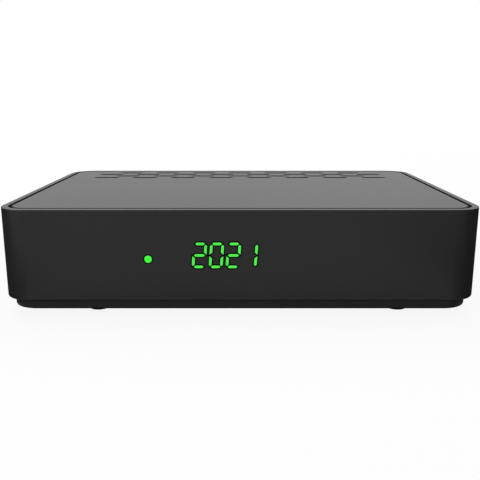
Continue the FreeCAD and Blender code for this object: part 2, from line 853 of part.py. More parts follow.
def make_display():
    """Display board on its two bosses, with the module, lamp and remote control receiver."""
    centre = "(display_board_left + display_board_right) / 2"
    plate = block(centre, "module_back", "display_board_bottom",
                  "display_board_right - display_board_left", "display_board_thickness",
                  "display_board_top - display_board_bottom")
    holes = [rod(x, "module_back - 1", "display_board_middle", "screw_radius + screw_hole_gap",
                 "display_board_thickness + 2", "y") for x in DISPLAY_SCREWS]
    node("display_board", carved(plate, holes))
    node("display_module", block("display_x", "inner_front", "display_z - display_height / 2",
                                 "display_width", "display_depth", "display_height"))
    node("lit_segments", shaped(display_segments(True)))
    node("unlit_segments", shaped(display_segments(False)))
    lens = rod("light_x", "front", "light_z", "light_radius", "wall", "y")
    flange = rod("light_x", "inner_front", "light_z", "light_flange_radius",
                 "light_flange_thickness", "y")
    node("status_light_guide", joined([lens, flange]))
    barrel = rod("light_x", f"module_back - led_length + led_radius", "light_z", "led_radius",
                 "led_length - led_radius", "y")
    dome = doc.addObject("Part::Sphere", "Dome")
    bind(dome, Radius="led_radius")
    place(dome, "light_x", "module_back - led_length + led_radius", "light_z")
    rim = rod("light_x", "module_back - led_rim_thickness", "light_z", "led_rim_radius",
              "led_rim_thickness", "y")
    node("status_led", joined([barrel, dome, rim]))
    case = block("receiver_x", "module_back - receiver_depth", "light_z - receiver_height / 2",
                 "receiver_width", "receiver_depth", "receiver_height")
    eye = doc.addObject("Part::Sphere", "Eye")
    bind(eye, Radius="receiver_dome_radius")
    place(eye, "receiver_x", "module_back - receiver_depth", "light_z")
    node("infrared_receiver", joined([case, eye]))


def make_board_link():
    """Strip on the main board's front edge and the square pins that reach the display board."""
    node("display_header", block("header_x", "board_front", "board_top", "header_width",
                                 "header_depth", "header_height"))
    pins = []
    for index in range(SIZES["header_count"]):
        x = f"header_x + ({index} - (header_count - 1) / 2) * header_spacing"
        pins.append(block(x, "display_board_back", "header_z", "header_pin_size",
                          "board_front - display_board_back", "header_pin_size"))
    node("header_pins", grouped(pins))


def make_tuner():
    node("tuner_can", block("tuner_x", "tuner_back - tuner_depth", "board_top", "tuner_width",
                            "tuner_depth", "tuner_height"))
    nuts = []
    for name, x in (("lnb_input", "aerial_left"), ("lnb_output", "aerial_right")):
        root = rod(x, "tuner_back", "aerial_z", "aerial_root_radius",
                   "panel_back + nut_thickness - tuner_back", "y")
        barrel = rod(x, "tuner_back", "aerial_z", "aerial_radius", "aerial_tip - tuner_back", "y")
        bore = rod(x, "aerial_tip - aerial_bore_depth", "aerial_z", "aerial_bore_radius",
                   "aerial_bore_depth + 1", "y")
        node(name, carved(joined([root, barrel]), [bore]))
        plug = rod(x, "aerial_tip - aerial_bore_depth", "aerial_z", "aerial_bore_radius",
                   "aerial_bore_depth - insulator_setback", "y")
        hole = rod(x, "aerial_tip - insulator_setback - insulator_hole_depth", "aerial_z",
                   "insulator_hole_radius", "insulator_hole_depth + 1", "y")
        node(name + "_insulator", carved(plug, [hole]))
        nuts.append(hex_nut(x, "panel_back", "aerial_z"))
    node("aerial_nuts", grouped(nuts))


def hex_nut(x, y, z):
    """Hexagon nut about a socket's barrel, bearing on the rear panel."""
    hexagon = doc.addObject("Part::Prism", "Hexagon")
    hexagon.Polygon = 6
    hexagon.Placement = FreeCAD.Placement(FreeCAD.Vector(), TURNS["y"])
    bind(hexagon, Circumradius="nut_across / 2 / cos(30)", Height="nut_thickness")
    place(hexagon, x, y, z)
    hole = rod(x, f"{y} - 1", z, "aerial_root_radius + nut_gap", "nut_thickness + 2", "y")
    return carved(hexagon, [hole])


def make_audio_socket():
    body = block("audio_x", "panel_front - audio_body_depth", "board_top", "audio_body_width",
                 "audio_body_depth", "audio_body_height")
    node("audio_socket_body", body)
    sleeve = rod("audio_x", "panel_front", "audio_z", "audio_radius", "audio_tip - panel_front", "y")
    collar = rod("audio_x", "panel_back", "audio_z", "audio_flange_radius",
                 "audio_flange_thickness", "y")
    bore = rod("audio_x", "panel_front - 1", "audio_z", "audio_radius - audio_wall",
               "audio_tip - panel_front + 2", "y")
    node("audio_socket_barrel", carved(joined([sleeve, collar]), [bore]))
    core = rod("audio_x", "panel_front", "audio_z", "audio_radius - audio_wall",
               "audio_tip - panel_front - audio_core_setback", "y")
    hole = rod("audio_x", "audio_tip - audio_core_setback - audio_hole_depth", "audio_z",
               "audio_hole_radius", "audio_hole_depth + 1", "y")
    node("audio_socket_core", carved(core, [hole]))


def make_video_socket():
    """Steel shell with slanted lower corners about a thin contact tongue."""
    def outline(inset):
        half = number("video_width") / 2 - inset
        low = number("video_z - video_height / 2") + inset
        high = number("video_z + video_height / 2") - inset
        slope = number("video_corner")
        x = number("video_x")
        y = number("socket_tip")
        return [FreeCAD.Vector(x + dx, y, z) for dx, z in (
            (-half, high), (-half, low + slope), (slope - half, low),
            (half - slope, low), (half, low + slope), (half, high))]
    shell = shaped(prism(outline(0), FreeCAD.Vector(0, -number("video_depth"), 0)))
    room = FreeCAD.Vector(0, -number("video_depth - socket_floor"), 0)
    cavity = shaped(prism(outline(number("metal_wall")), room))
    foot = block("video_x", "socket_tip - video_depth", "board_top",
                 "video_width - 4 * video_corner", "video_depth / 2",
                 "socket_rise + metal_wall / 2")
    node("video_socket", carved(joined([shell, foot]), [cavity]))
    node("video_tongue", block("video_x", "socket_tip - video_depth + socket_floor",
                               "video_z - video_tongue_height / 2", "video_tongue_width",
                               "video_depth - socket_floor - tongue_setback",
                               "video_tongue_height"))


def make_storage_socket():
    start = "socket_tip - storage_depth"
    low = "storage_z - storage_height / 2"
    shell = block("storage_x", start, low, "storage_width", "storage_depth", "storage_height")
    foot = block("storage_x", start, "board_top", "storage_width / 2", "storage_depth / 2",
                 "socket_rise + metal_wall / 2")
    cavity = block("storage_x", f"{start} + socket_floor", f"{low} + metal_wall",
                   "storage_width - 2 * metal_wall", "storage_depth",
                   "storage_height - 2 * metal_wall")
    node("storage_socket", carved(joined([shell, foot]), [cavity]))
    node("storage_tongue", block("storage_x", f"{start} + socket_floor",
                                 f"{low} + storage_tongue_rise", "storage_tongue_width",
                                 "storage_depth - socket_floor - tongue_setback",
                                 "storage_tongue_height"))


def make_network_socket():
    """Box with a plug cavity, its latch notch above, and eight contacts on the cavity's floor."""
    start = "socket_tip - network_depth"
    body = block("network_x", start, "board_top", "network_width", "network_depth",
                 "network_height")
    cavity_y = "socket_tip - network_plug_depth"
    low = "network_z - network_plug_height / 2"
    plug = block("network_x", cavity_y, low, "network_plug_width", "network_plug_depth + 1",
                 "network_plug_height")
    latch = block("network_x", cavity_y, "network_z", "network_latch_width",
                  "network_plug_depth + 1", "network_plug_height / 2 + network_latch_height")
    node("network_socket", carved(body, [plug, latch]))
    contacts = []
    for index in range(8):
        contacts.append(block(f"network_x + ({index} - 3.5) * network_contact_spacing", cavity_y,
                              low, "network_contact_size", "network_contact_length",
                              "network_contact_size"))
    node("network_contacts", grouped(contacts))


def make_jack(name, x):
    """Small round socket: body on the board and a nose through the panel."""
    body = block(x, "panel_front - jack_body_depth", "board_top", "jack_body_width",
                 "jack_body_depth", "jack_body_height")
    nose = rod(x, "panel_front - 1", "jack_z", "jack_nose_radius", "jack_nose_length + 1", "y")
    bore = rod(x, "panel_front + jack_nose_length - jack_bore_depth", "jack_z",
               "jack_bore_radius", "jack_bore_depth + 1", "y")
    node(name, carved(joined([body, nose]), [bore]))


def make_power_inlet():
    tip = "socket_tip"
    body = block("inlet_x", f"{tip} - inlet_depth", "board_top", "inlet_width", "inlet_depth",
                 "inlet_height")
    bore = rod("inlet_x", f"{tip} - inlet_bore_depth", "inlet_z", "inlet_bore_radius",
               "inlet_bore_depth + 1", "y")
    node("power_inlet", carved(body, [bore]))
    node("power_inlet_pin", rod("inlet_x", f"{tip} - inlet_bore_depth", "inlet_z",
                                "inlet_pin_radius", "inlet_pin_length", "y"))


def make_power_switch():
    body = block("switch_x", "bezel_back - switch_depth", "switch_z - switch_height / 2",
                 "switch_width", "switch_depth", "switch_height")
    bezel = block("switch_x", "panel_back", "switch_z - bezel_height / 2", "bezel_width",
                  "bezel_thickness", "bezel_height")
    well = block("switch_x", "bezel_back - switch_well_depth", "switch_z - switch_well_height / 2",
                 "switch_well_width", "switch_well_depth + 1", "switch_well_height")
    pin_start = "switch_x - switch_width / 2"
    hole = rod(f"{pin_start} - 1", "pivot_y", "switch_z", "pivot_radius", "switch_width + 2", "x")
    node("power_switch", carved(joined([body, bezel]), [well, hole]))
    node("rocker_pin", rod(pin_start, "pivot_y", "switch_z", "pivot_radius", "switch_width", "x"))
    terminals = []
    for side in ("-1", "1"):
        terminals.append(block("switch_x", "bezel_back - switch_depth - terminal_length",
                               f"switch_z + {side} * terminal_spacing / 2 - terminal_thickness / 2",
                               "terminal_width", "terminal_length", "terminal_thickness"))
    node("switch_terminals", grouped(terminals))


def make_power_rocker():
    """Paddle with two slanted faces and a round belly, resting with one end pressed in."""
    end = number("rocker_half_length")
    crest = number("rocker_crest")
    middle = number("rocker_middle")
    heel = number("rocker_heel")
    belly = number("rocker_belly")
    profile = [(-end, crest), (-end, -heel), (-belly, -belly), (belly, -belly), (end, -heel),
               (end, crest), (0, middle)]
    width = number("switch_well_width - 2 * rocker_side_gap")
    corners = [FreeCAD.Vector(-width / 2, y, z) for z, y in profile]
    paddle = prism(corners, FreeCAD.Vector(width, 0, 0))
    hole_radius = number("pivot_radius + pivot_gap")
    hole = Part.makeCylinder(hole_radius, width + 2, FreeCAD.Vector(-width / 2 - 1, 0, 0),
                             FreeCAD.Vector(1, 0, 0))
    rocker = shaped(paddle.cut(hole))
    tilt = FreeCAD.Rotation(FreeCAD.Vector(1, 0, 0), number("rocker_tilt"))
    pivot = FreeCAD.Vector(number("switch_x"), number("pivot_y"), number("switch_z"))
    rocker.Placement = FreeCAD.Placement(pivot, tilt)
    node("power_rocker", rocker)


def make_heat_sink():
    """Finned plate, its fins repeated across it by a pattern."""
    body = doc.addObject("PartDesign::Body", "Sink")
    base = sketch_on(body, "XY_Plane", "processor_x", "processor_y", "pad_top")
    rounded_rectangle(base, "sink_width", "sink_width", "sink_corner")
    pad(body, base, "sink_base")
    fin = sketch_on(body, "XY_Plane", "processor_x - (sink_width - sink_fin_thickness) / 2",
                    "processor_y", "pad_top + sink_base")
    rounded_rectangle(fin, "sink_fin_thickness", "(sink_width - 2 * sink_fin_inset)",
                      "sink_fin_corner")
    fin_pad = pad(body, fin, "sink_fin_height")
    doc.recompute()
    pattern = body.newObject("PartDesign::LinearPattern", "Fins")
    pattern.Originals = [fin_pad]
    pattern.Direction = (fin, ["H_Axis"])
    bind(pattern, Length="sink_width - sink_fin_thickness", Occurrences="sink_fin_count")
    body.Tip = pattern
    node("heat_sink", body)


def chip(name, x, y, width, length, height):
    """Flat package on the main board about a middle point."""
    node(name, block(x, f"{y} - {length} / 2", "board_top", width, length, height))


def capacitor(x, y, radius, height):
    can = rod(x, y, "board_top", radius, height)
    score = block(x, f"{y} - {radius} * score_share", f"board_top + {height} - capacitor_score",
                  "capacitor_score", f"2 * {radius} * score_share", "capacitor_score")
    return carved(can, [score])


def make_board_parts():
    chip("processor", "processor_x", "processor_y", "processor_width", "processor_width",
         "processor_height")
    node("thermal_pad", block("processor_x", "processor_y - processor_width / 2",
                              "processor_top", "processor_width", "processor_width",
                              "pad_thickness"))
    chip("memory_chip", "memory_x", "processor_y", "memory_width", "memory_length",
         "memory_height")
    chip("flash_chip", "flash_x", "processor_y", "flash_width", "flash_length", "flash_height")
    chip("network_transformer", "network_x", "transformer_y", "transformer_width",
         "transformer_length", "transformer_height")
    chip("crystal", "video_x", "board_back - crystal_setback", "crystal_length", "crystal_width",
         "crystal_height")
    supply_pair = ("supply_x - supply_spacing / 2", "supply_x + supply_spacing / 2")
    small_cans = (("aerial_left", "tuner_front_y"), ("aerial_right", "tuner_front_y"),
                  ("memory_x", "chips_front_y"), ("flash_x", "chips_front_y"))
    cans = [capacitor(x, "supply_y", "big_capacitor_radius", "big_capacitor_height")
            for x in supply_pair]
    cans += [capacitor(x, y, "small_capacitor_radius", "small_capacitor_height")
             for x, y in small_cans]
    node("capacitors", grouped(cans))
    node("inductors", grouped([block(x, "coil_y - inductor_width / 2", "board_top",
                                     "inductor_width", "inductor_width", "inductor_height")
                               for x in supply_pair]))
    node("regulators", grouped([block(x, "regulator_y - regulator_length / 2", "board_top",
                                      "regulator_width", "regulator_length", "regulator_height")
                                for x in supply_pair + ("tuner_x",)]))
    chips = [block(f"memory_x + ({index} - (resistor_count - 1) / 2) * resistor_spacing",
                   f"board_front + resistor_setback + {row} * resistor_row_spacing", "board_top",
                   "resistor_length", "resistor_width", "resistor_height")
             for row in range(SIZES["resistor_rows"]) for index in range(SIZES["resistor_count"])]
    node("chip_resistors", grouped(chips))


def check_model():
    """Stop if any object failed, any pocket cut nothing or any sub-part isn't sound."""
    for item in doc.Objects:
        if "Invalid" in item.State or "Error" in item.State:
            raise RuntimeError(f"{item.Name} ({item.Label}) failed: {item.State}")
        if item.TypeId == "PartDesign::Pocket":
            if item.Shape.Volume > item.BaseFeature.Shape.Volume - 1e-3:
                raise RuntimeError(f"{item.Name} cuts nothing")
    for name, solid in NODES.items():
        if solid.Shape.isNull() or not solid.Shape.isValid() or not solid.Shape.Solids:
            raise RuntimeError(f"{name} has no sound shape")


make_housing()
make_top_cover()
make_base_tray()
for foot_name, (foot_x, foot_y) in FEET.items():
    make_foot(foot_name, foot_x, foot_y)
make_screws()
make_rear_panel()
make_main_board()
make_display()
make_board_link()
make_tuner()
make_audio_socket()
make_video_socket()
make_storage_socket()
make_network_socket()
make_jack("av_jack", "av_jack_x")
make_jack("infrared_jack", "infrared_jack_x")
make_power_inlet()
make_power_switch()
make_power_rocker()
make_heat_sink()
make_board_parts()
doc.recompute()
check_model()

os.makedirs("parts", exist_ok=True)
for name, solid in NODES.items():
    solid.Shape.exportStep(f"parts/{name}.step")
    print(name, len(solid.Shape.Solids), round(solid.Shape.Volume, 3))
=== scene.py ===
import json
import math

import bmesh
import bpy
from mathutils import Matrix, Vector

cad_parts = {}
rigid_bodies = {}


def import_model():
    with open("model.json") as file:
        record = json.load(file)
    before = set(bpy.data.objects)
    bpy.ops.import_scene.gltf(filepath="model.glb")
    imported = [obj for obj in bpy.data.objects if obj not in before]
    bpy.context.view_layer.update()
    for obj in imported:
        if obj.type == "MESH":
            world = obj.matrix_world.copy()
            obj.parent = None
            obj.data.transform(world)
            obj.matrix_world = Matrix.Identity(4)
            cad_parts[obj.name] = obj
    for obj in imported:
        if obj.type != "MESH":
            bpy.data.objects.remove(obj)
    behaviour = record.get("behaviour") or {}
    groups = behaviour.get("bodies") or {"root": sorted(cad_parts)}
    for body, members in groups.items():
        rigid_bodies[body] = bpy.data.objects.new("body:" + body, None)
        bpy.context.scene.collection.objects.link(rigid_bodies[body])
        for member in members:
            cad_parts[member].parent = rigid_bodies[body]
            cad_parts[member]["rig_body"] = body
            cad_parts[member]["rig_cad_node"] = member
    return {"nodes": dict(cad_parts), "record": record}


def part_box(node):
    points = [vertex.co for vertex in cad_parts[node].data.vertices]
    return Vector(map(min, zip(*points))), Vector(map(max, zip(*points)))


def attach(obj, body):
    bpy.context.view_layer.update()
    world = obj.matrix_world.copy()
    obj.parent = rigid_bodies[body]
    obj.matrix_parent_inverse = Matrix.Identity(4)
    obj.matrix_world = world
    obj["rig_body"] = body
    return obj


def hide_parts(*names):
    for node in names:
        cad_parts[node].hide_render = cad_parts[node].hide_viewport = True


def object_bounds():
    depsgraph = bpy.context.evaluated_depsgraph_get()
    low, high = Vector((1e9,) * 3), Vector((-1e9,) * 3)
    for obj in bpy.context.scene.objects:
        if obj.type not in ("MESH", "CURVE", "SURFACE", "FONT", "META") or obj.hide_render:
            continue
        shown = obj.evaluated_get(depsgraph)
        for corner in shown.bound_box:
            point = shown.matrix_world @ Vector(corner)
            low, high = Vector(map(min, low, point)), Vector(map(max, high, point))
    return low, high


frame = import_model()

cad_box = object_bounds()
nodes = frame["nodes"]


# The base tray is the recessed plinth of the case, moulded in black ABS like the sleeve and the
# lid. The tool's spark-eroded face leaves a fine even grain on all three of them. The tray's black
# is set darker than theirs, as painted shade under the case's overhang.

class Value:
    """A number that varies over a surface. Python's operators on it add Math nodes."""

    def __init__(self, finish, socket):
        self.finish = finish
        self.socket = socket

    def math(self, operation, *numbers):
        return self.finish.node("Math", {"operation": operation}, dict(enumerate(numbers)))

    def __add__(self, other):
        return self.math("ADD", self, other)

    def __radd__(self, other):
        return self.math("ADD", other, self)

    def __sub__(self, other):
        return self.math("SUBTRACT", self, other)

    def __rsub__(self, other):
        return self.math("SUBTRACT", other, self)

    def __mul__(self, other):
        return self.math("MULTIPLY", self, other)

    def __rmul__(self, other):
        return self.math("MULTIPLY", other, self)

    def __gt__(self, other):
        return self.math("GREATER_THAN", self, other)


class Finish:
    """The nodes of a material or of the room: one shader, and what varies it."""

    def __init__(self, owner, shader="Principled BSDF", **constants):
        owner.use_nodes = True
        self.owner = owner
        self.tree = owner.node_tree
        self.shader = self.tree.nodes[shader]
        for socket, number in constants.items():
            self.shader.inputs[socket.replace("_", " ")].default_value = number

    def node(self, kind, settings=None, values=None, output=0):
        """Add a node: its settings are made first, then its sockets get their values or links."""
        added = self.tree.nodes.new("ShaderNode" + kind)
        for setting, choice in (settings or {}).items():
            setattr(added, setting, choice)
        for socket, value in (values or {}).items():
            self.link(value, added.inputs[socket])
        return Value(self, added.outputs[output])

    def link(self, value, socket):
        if isinstance(value, Value):
            self.tree.links.new(value.socket, socket)
        else:
            socket.default_value = value

    def place(self, stretch=(1, 1, 1)):
        """The point's place on the object, stretched about the object's origin."""
        point = self.node("TexCoord", output="Object")
        return self.node("Mapping", None, {"Vector": point, "Scale": stretch})

    def noise(self, scale, detail=2.0, point=None):
        values = {"Vector": point or self.place(), "Scale": scale, "Detail": detail}
        return self.node("TexNoise", None, values)

    def blend(self, mask, low, high):
        """A colour between two others: the Mix node's colour sockets are its 6, 7 and output 2."""
        return self.node("Mix", {"data_type": "RGBA"}, {0: mask, 6: low, 7: high}, 2)

    def bump(self, height, depth):
        return self.node("Bump", None, {"Height": height, "Distance": depth})

    def look(self, **values):
        """Feed the shader's own sockets."""
        for socket, value in values.items():
            self.link(value, self.shader.inputs[socket.replace("_", " ")])
        return self.owner


def new_finish(name, **constants):
    return Finish(bpy.data.materials.new(name), **constants)


def grey(level):
    return (level, level, level, 1.0)


def moulded_black(name, shade, gloss):
    """Satin black ABS: a fine grain, and a faint drift of shade and gloss from the moulding."""
    finish = new_finish(name, IOR=1.32)
    drift = finish.noise(14.0, 3.0)
    grain = finish.noise(2600.0, 2.0)
    colour = finish.blend(drift, grey(shade * 0.85), grey(shade * 1.15))
    return finish.look(Base_Color=colour, Roughness=gloss + 0.06 * grain - 0.03 * drift,
                       Normal=finish.bump(grain, 0.000012))


def dress(material, *names):
    """Give CAD nodes a finish through their material slots."""
    for name in names:
        slots = nodes[name].data.materials
        slots.clear()
        slots.append(material)


# A darker black than the sleeve's: painted shade on the plinth under the case's overhang.
dress(moulded_black("tray_black_painted_shade", 0.009, 0.46), "base_tray")


# Four feet of soft black rubber are glued into shallow recesses of the tray. Each is a moulded
# disc with a rounded rim and a shallow dish below, which grips the shelf.

FOOT_RIM = 0.0005
DISH_BORDER = 0.0012
DISH_SLOPE = 0.0003
DISH_DEPTH = 0.0004
foot_names = ["foot_front_left", "foot_front_right", "foot_rear_left", "foot_rear_right"]


def rubber_black():
    finish = new_finish("rubber_black", IOR=1.45)
    grain = finish.noise(900.0, 4.0)
    colour = finish.blend(grain, grey(0.012), grey(0.028))
    return finish.look(Base_Color=colour, Roughness=0.72 + 0.15 * grain,
                       Normal=finish.bump(grain, 0.00003))


def open_for_shaping():
    """Settle a new primitive's place into its mesh and open it for editing."""
    bpy.ops.object.transform_apply(location=True, rotation=True, scale=True)
    bpy.ops.object.mode_set(mode="EDIT")
    bpy.ops.mesh.select_mode(type="FACE")


def pick(test):
    """Select those faces of the shape being edited whose middle and normal pass a test."""
    bpy.ops.mesh.select_all(action="DESELECT")
    edited = bmesh.from_edit_mesh(bpy.context.edit_object.data)
    for face in edited.faces:
        face.select_set(test(face.calc_center_median(), face.normal))
    bmesh.update_edit_mesh(bpy.context.edit_object.data)


def finished(name, material, body="receiver", crease=32.0):
    """Close the shape being made and give it its shading, name, finish and body."""
    if bpy.context.mode != "OBJECT":
        bpy.ops.object.mode_set(mode="OBJECT")
    bpy.ops.object.shade_smooth_by_angle(angle=math.radians(crease))
    piece = bpy.context.object
    piece.name = piece.data.name = name
    piece.data.materials.clear()
    piece.data.materials.append(material)
    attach(piece, body)
    bpy.ops.object.select_all(action="DESELECT")
    return piece


def made_again(piece, name, shift):
    """The same piece at another place, with its own mesh."""
    twin = piece.copy()
    twin.data = piece.data.copy()
    twin.name = twin.data.name = name
    twin.data.transform(Matrix.Translation(shift))
    bpy.context.scene.collection.objects.link(twin)
    return twin


def middle_of(node):
    low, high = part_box(node)
    return (low + high) / 2


foot_low, foot_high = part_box(foot_names[0])
bpy.ops.object.select_all(action="DESELECT")
bpy.ops.mesh.primitive_cylinder_add(vertices=64, radius=(foot_high.x - foot_low.x) / 2,
                                    depth=foot_high.z - foot_low.z,
                                    location=middle_of(foot_names[0]))
open_for_shaping()
pick(lambda place, normal: normal.z < -0.5)
bpy.ops.mesh.bevel(offset=FOOT_RIM, segments=4)
pick(lambda place, normal: normal.z < -0.999)
bpy.ops.mesh.inset(thickness=DISH_BORDER)
bpy.ops.mesh.inset(thickness=DISH_SLOPE)
bpy.ops.transform.translate(value=(0, 0, DISH_DEPTH))
first_foot = finished("foot_front_left_rubber", rubber_black())
for foot_name in foot_names:
    foot = first_foot
    if foot_name != foot_names[0]:
        shift = middle_of(foot_name) - middle_of(foot_names[0])
        foot = made_again(first_foot, foot_name + "_rubber", shift)
    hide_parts(foot_name)


# The main board is a green glass-fibre board with tinned tracks under its lacquer. The display
# board stands on edge behind the front wall and is made the same way.

def board_green():
    finish = new_finish("board_green", IOR=1.5)
    tracks = finish.node("TexBrick", {"offset": 0.5}, {
        "Vector": finish.place(), "Scale": 420.0, "Mortar Size": 0.09, "Brick Width": 1.9,
        "Row Height": 0.32}, "Fac")
    weave = finish.noise(600.0, 2.0)
    lacquer = finish.blend(weave, (0.008, 0.085, 0.022, 1.0), (0.012, 0.12, 0.033, 1.0))
    colour = finish.blend(tracks, lacquer, (0.03, 0.2, 0.07, 1.0))
    return finish.look(Base_Color=colour, Roughness=0.28 + 0.1 * weave,
                       Normal=finish.bump(tracks, 0.00003))


dress(board_green(), "main_board", "display_board")


# Chips, chokes and the network transformer are moulded in black epoxy and soldered to the board.
# Two of them stand on rows of bent, tinned legs; the others have their contacts underneath.

LEG_REACH = 0.0005
LEG_WIDTH = 0.0004
LEG_THICKNESS = 0.00015
LEG_RISE = 0.0008
LEG_SPACING = 0.00127


def moulded_epoxy(name, shade):
    finish = new_finish(name, IOR=1.5)
    grain = finish.noise(1800.0, 3.0)
    colour = finish.blend(grain, grey(shade * 0.7), grey(shade * 1.3))
    return finish.look(Base_Color=colour, Roughness=0.5 + 0.15 * grain,
                       Normal=finish.bump(grain, 0.00002))


dress(moulded_epoxy("chip_black", 0.02), "processor", "memory_chip", "flash_chip",
      "network_transformer", "regulators", "chip_resistors")
dress(moulded_epoxy("ferrite_grey", 0.07), "inductors")


def plated(name, low, high, gloss):
    """Plated metal with the faint smears that handling leaves on it."""
    finish = new_finish(name, Metallic=1.0)
    smear = finish.noise(90.0, 4.0)
    fine = finish.noise(1500.0, 2.0)
    return finish.look(Base_Color=finish.blend(smear, low, high), Roughness=gloss + 0.14 * smear,
                       Normal=finish.bump(fine, 0.000004))


def repeated(step, count):
    """The shape repeated along a line."""
    row = bpy.context.object.modifiers.new("row", "ARRAY")
    row.use_relative_offset = False
    row.use_constant_offset = True
    row.constant_offset_displace = step
    row.count = count
    bpy.ops.object.modifier_apply(modifier="row")


tin_plate = plated("tin_plate", (0.5, 0.5, 0.49, 1.0), (0.66, 0.66, 0.65, 1.0), 0.24)


def leg_row(name, chip, outward, count):
    """Tinned legs along one side of a chip, each bent down and out onto the board."""
    low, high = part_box(chip)
    out, along = Vector(outward), Vector((abs(outward[1]), abs(outward[0]), 0))
    reach = (high - low).dot(Vector(map(abs, outward))) / 2 + LEG_REACH / 2
    first = (low + high) / 2 + out * reach - along * LEG_SPACING * (count - 1) / 2
    first.z = low.z + LEG_RISE
    bpy.ops.object.select_all(action="DESELECT")
    bpy.ops.mesh.primitive_cube_add(size=1, location=first, scale=(
        LEG_REACH if outward[0] else LEG_WIDTH, LEG_REACH if outward[1] else LEG_WIDTH,
        LEG_THICKNESS))
    open_for_shaping()
    pick(lambda place, normal: normal.dot(out) > 0.5)
    bend = out * LEG_REACH / 2 - Vector((0, 0, LEG_RISE - LEG_THICKNESS))
    bpy.ops.mesh.extrude_region_move(TRANSFORM_OT_translate={"value": bend})
    bpy.ops.mesh.extrude_region_move(TRANSFORM_OT_translate={"value": out * LEG_REACH})
    bpy.ops.object.mode_set(mode="OBJECT")
    repeated(along * LEG_SPACING, count)
    return finished(name, tin_plate)


leg_row("flash_chip_legs_left", "flash_chip", (-1, 0, 0), 4)
leg_row("flash_chip_legs_right", "flash_chip", (1, 0, 0), 4)
leg_row("network_transformer_legs_front", "network_transformer", (0, -1, 0), 8)
leg_row("network_transformer_legs_back", "network_transformer", (0, 1, 0), 8)


# A soft silicone pad carries the processor's heat into a finned sink of extruded aluminium. The
# pad sticks on both sides and holds the sink, which nothing else fixes.

def silicone_blue():
    finish = new_finish("silicone_blue")
    grain = finish.noise(700.0, 3.0)
    colour = finish.blend(grain, (0.2, 0.3, 0.42, 1.0), (0.3, 0.42, 0.55, 1.0))
    return finish.look(Base_Color=colour, Roughness=0.7 + 0.1 * grain)


def extruded_aluminium():
    finish = new_finish("extruded_aluminium", Metallic=1.0)
    lines = finish.noise(60.0, 3.0, finish.place((30, 1, 30)))
    colour = finish.blend(lines, grey(0.42), grey(0.6))
    return finish.look(Base_Color=colour, Roughness=0.3 + 0.2 * lines,
                       Normal=finish.bump(lines, 0.00001))


dress(silicone_blue(), "thermal_pad")
dress(extruded_aluminium(), "heat_sink")


# Electrolytic capacitors stand upright on the main board: an aluminium can in a dark shrunk
# sleeve that leaves its scored top bare.

def sleeved_can():
    finish = new_finish("sleeved_can")
    upward = finish.node("NewGeometry", output="Normal")
    top = finish.node("SeparateXYZ", None, {"Vector": upward}, "Z") > 0.5
    shade = finish.noise(300.0, 2.0)
    sleeve = finish.blend(shade, (0.006, 0.006, 0.012, 1.0), (0.012, 0.012, 0.02, 1.0))
    colour = finish.blend(top, sleeve, grey(0.62))
    return finish.look(Base_Color=colour, Metallic=top, Roughness=0.34 + 0.08 * shade)


dress(sleeved_can(), "capacitors")


# The sockets along the board's back edge have black moulded bodies or tinned steel shells. Their
# contacts are gold flashed, those of the round jacks nickel plated.

STRIP_THICKNESS = 0.00006
VIDEO_STRIP_WIDTH = 0.00045
VIDEO_STRIP_LENGTH = 0.0056
VIDEO_STRIP_SPACING = 0.001
VIDEO_STRIP_COUNT = 10
STORAGE_STRIP_WIDTH = 0.0011
STORAGE_STRIP_LENGTH = 0.0075
STORAGE_STRIP_SPACING = 0.00233
STORAGE_STRIP_COUNT = 4
STRIP_SETBACK = 0.0006
TIP_WIDTH_SHARE = 0.6
TIP_HEIGHT_SHARE = 0.4
LAMP_WIDTH = 0.0026
LAMP_HEIGHT = 0.0015
LAMP_SEAT = 0.0006
LAMP_RISE = 0.0001
LAMP_OFFSET = 0.0057
LAMP_DROP = 0.0014
JACK_RING_RADIUS = 0.00235
JACK_LINING_RADIUS = 0.00174
JACK_RING_RISE = 0.00012
JACK_LINING_WALL = 0.00005
JACK_LINING_DEPTH = 0.0105


def socket_black():
    finish = new_finish("socket_black", IOR=1.48)
    grain = finish.noise(2200.0, 2.0)
    colour = finish.blend(grain, grey(0.012), grey(0.022))
    return finish.look(Base_Color=colour, Roughness=0.42 + 0.12 * grain,
                       Normal=finish.bump(grain, 0.00001))


nickel_plate = plated("nickel_plate", (0.58, 0.55, 0.5, 1.0), (0.7, 0.67, 0.62, 1.0), 0.12)
gold_flash = plated("gold_flash", (0.75, 0.52, 0.18, 1.0), (0.9, 0.66, 0.28, 1.0), 0.2)
dress(socket_black(), "display_header", "audio_socket_body", "network_socket", "av_jack",
      "infrared_jack", "power_inlet", "power_switch", "video_tongue", "storage_tongue")
dress(tin_plate, "tuner_can", "video_socket", "storage_socket", "crystal")
dress(nickel_plate, "audio_socket_barrel", "power_inlet_pin")
dress(gold_flash, "header_pins", "network_contacts", "switch_terminals")


def contact_row(name, tongue, above, width, length, spacing, count):
    """Gold strips with sloped tips, side by side on the upper or lower face of a tongue."""
    low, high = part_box(tongue)
    first_x = (low.x + high.x - (count - 1) * spacing) / 2
    face_z = high.z + STRIP_THICKNESS / 2 if above else low.z - STRIP_THICKNESS / 2
    bpy.ops.object.select_all(action="DESELECT")
    bpy.ops.mesh.primitive_cube_add(
        size=1, scale=(width, length, STRIP_THICKNESS),
        location=(first_x, high.y - STRIP_SETBACK - length / 2, face_z))
    open_for_shaping()
    pick(lambda place, normal: normal.y > 0.5)
    bpy.ops.transform.resize(value=(TIP_WIDTH_SHARE, 1, TIP_HEIGHT_SHARE))
    bpy.ops.object.mode_set(mode="OBJECT")
    repeated((spacing, 0, 0), count)
    return finished(name, gold_flash)


